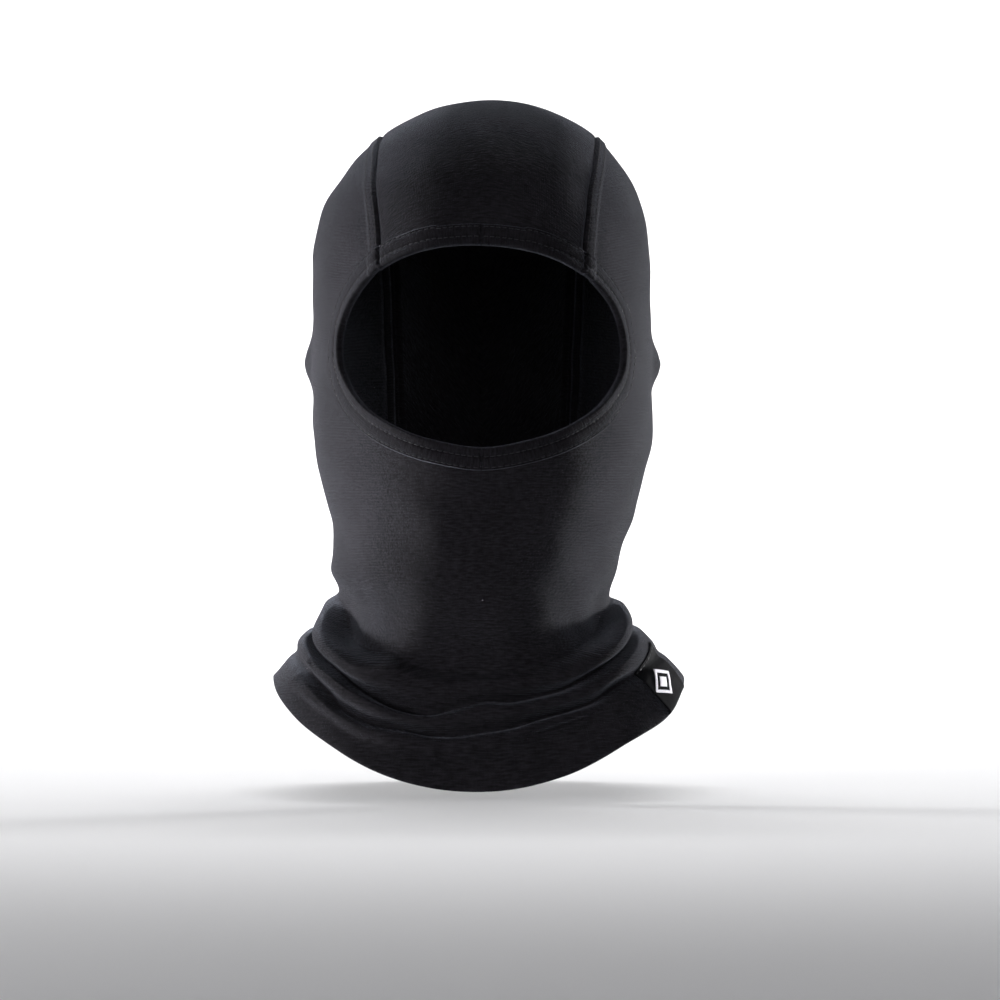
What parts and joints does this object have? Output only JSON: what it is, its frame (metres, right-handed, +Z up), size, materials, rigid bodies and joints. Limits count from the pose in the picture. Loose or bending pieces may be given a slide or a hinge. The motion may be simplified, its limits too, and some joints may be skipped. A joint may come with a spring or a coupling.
{
  "type": "balaclava",
  "caption": "Close-fitting knitted hood for head and neck with one oval face opening bound in jersey, two crown seams, a deep hem and a folded hem label.",
  "frame": {"origin": "middle of the head at eye level, inside the hood", "axes": "+Z up to the crown, the face opening looks along -Y, +X is the wearer's left"},
  "size_m": [0.2048, 0.22, 0.3406],
  "materials": {
    "jersey": "fine black wool jersey, soft and slightly fuzzy",
    "binding": "black rib-edged jersey binding",
    "overlock_thread": "textured black looper thread",
    "sewing_thread": "black polyester sewing thread, faint gloss",
    "label_tape": "black woven label tape",
    "label_motif": "pale lilac-white weft threads",
    "satin_label": "white satin ribbon"
  },
  "bodies": {
    "hood": {"crown_panel": "jersey", "side_and_chin_panel": "jersey", "left_crown_seam_overlock": "overlock_thread", "right_crown_seam_overlock": "overlock_thread", "left_crown_topstitch": "sewing_thread", "right_crown_topstitch": "sewing_thread", "left_face_binding": "binding", "right_face_binding": "binding", "left_binding_coverstitch": "sewing_thread", "right_binding_coverstitch": "sewing_thread", "left_binding_looper_thread": "overlock_thread", "right_binding_looper_thread": "overlock_thread", "hem_stitch": "sewing_thread", "hem_label": "label_tape", "hem_label_motif": "label_motif", "hem_label_stitch": "sewing_thread", "care_label_stitch": "sewing_thread"},
    "care_label": {"care_label": "satin_label"}
  },
  "joints": [
    {"name": "care_label_swing", "type": "hinge", "parent": "hood", "child": "care_label", "pos_m": [0, 0.06162, -0.118], "axis": [-1, 0, 0], "range_deg": [0, 110]}
  ]
}
